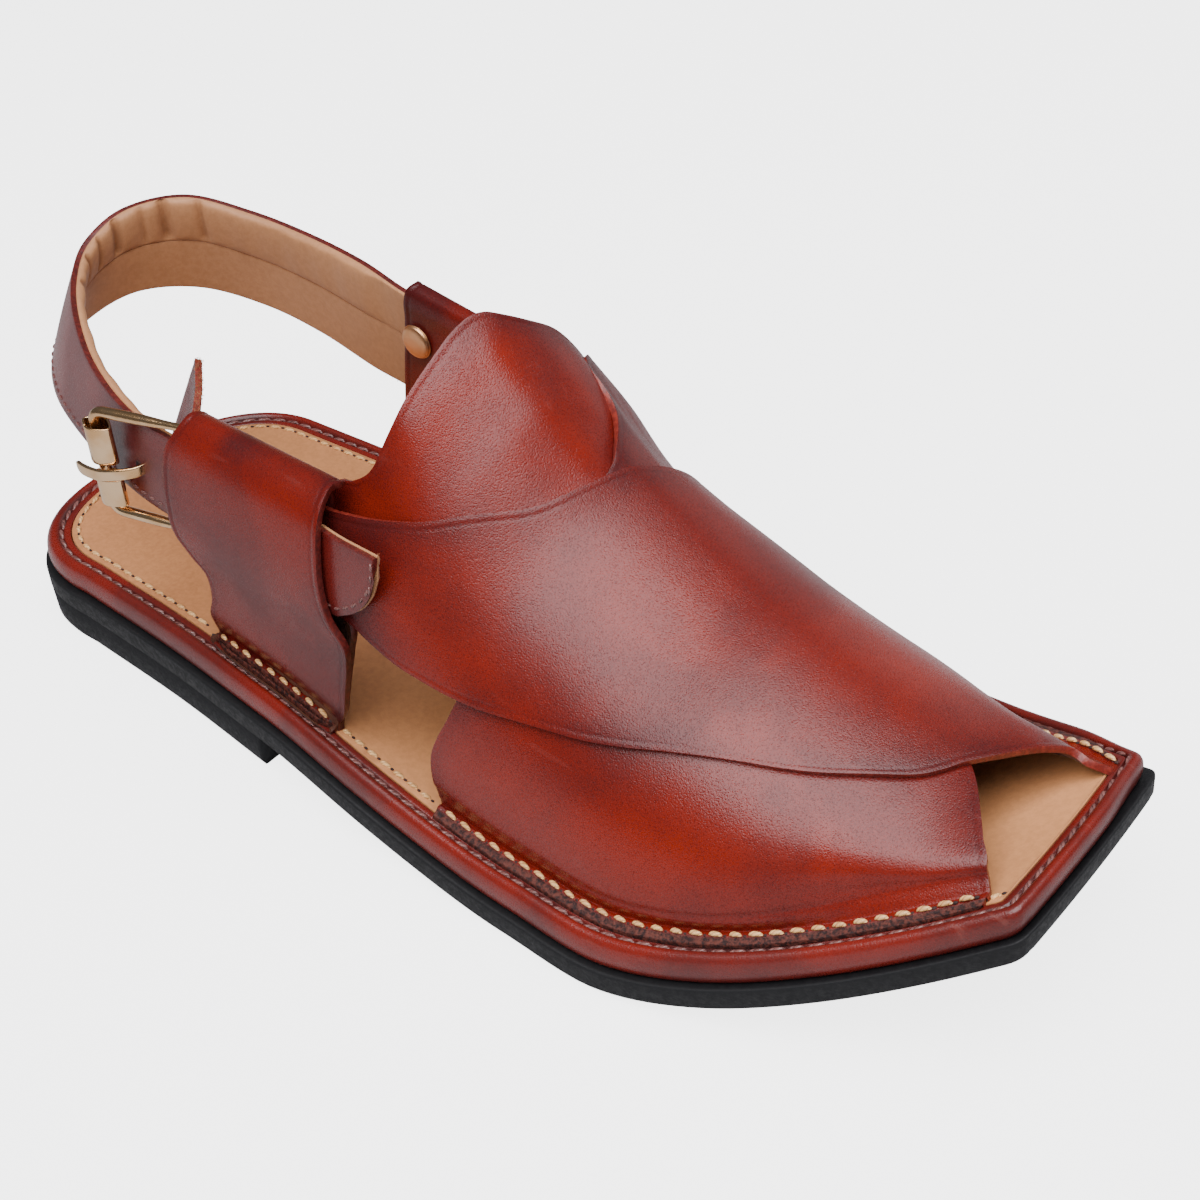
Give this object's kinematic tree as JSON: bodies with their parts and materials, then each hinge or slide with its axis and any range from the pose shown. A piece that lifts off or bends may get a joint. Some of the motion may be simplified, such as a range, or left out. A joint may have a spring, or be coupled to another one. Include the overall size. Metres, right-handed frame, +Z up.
{
  "type": "peshawari chappal sandal",
  "caption": "Right-foot peshawari chappal with crossed leather panels over an open toe, folded side loops, a heel strap with a buckle, a stitched rand and a low-heeled rubber sole.",
  "frame": {"origin": "centre of the footprint's bounding box, on the floor under the sole", "axes": "+X along the foot from heel to toe, +Y to the medial side of this right shoe (the wearer's left), +Z up"},
  "size_m": [0.2902, 0.113, 0.1077],
  "materials": {
    "upper_leather": "burnished chestnut-red smooth leather, semi-gloss",
    "loop_leather": "burnished chestnut-red smooth leather, semi-gloss",
    "strap_leather": "burnished chestnut-red outside, padded tan lining inside",
    "rand_leather": "glossy dark red-brown rand with stitching",
    "insole_leather": "matte tan leather",
    "sole_rubber": "matte black rubber, fine grain",
    "buckle_metal": "pale gold plate, polished"
  },
  "bodies": {
    "root": {"outsole": "sole_rubber", "midsole": "rand_leather", "insole": "insole_leather", "upper": "upper_leather", "tongue": "upper_leather", "lateral_loop": "loop_leather", "medial_loop": "loop_leather", "heel_strap": "strap_leather", "buckle_frame": "buckle_metal", "buckle_sleeve_upper": "buckle_metal", "buckle_sleeve_lower": "buckle_metal", "buckle_prong": "buckle_metal", "strap_rivet": "buckle_metal"}
  },
  "joints": []
}
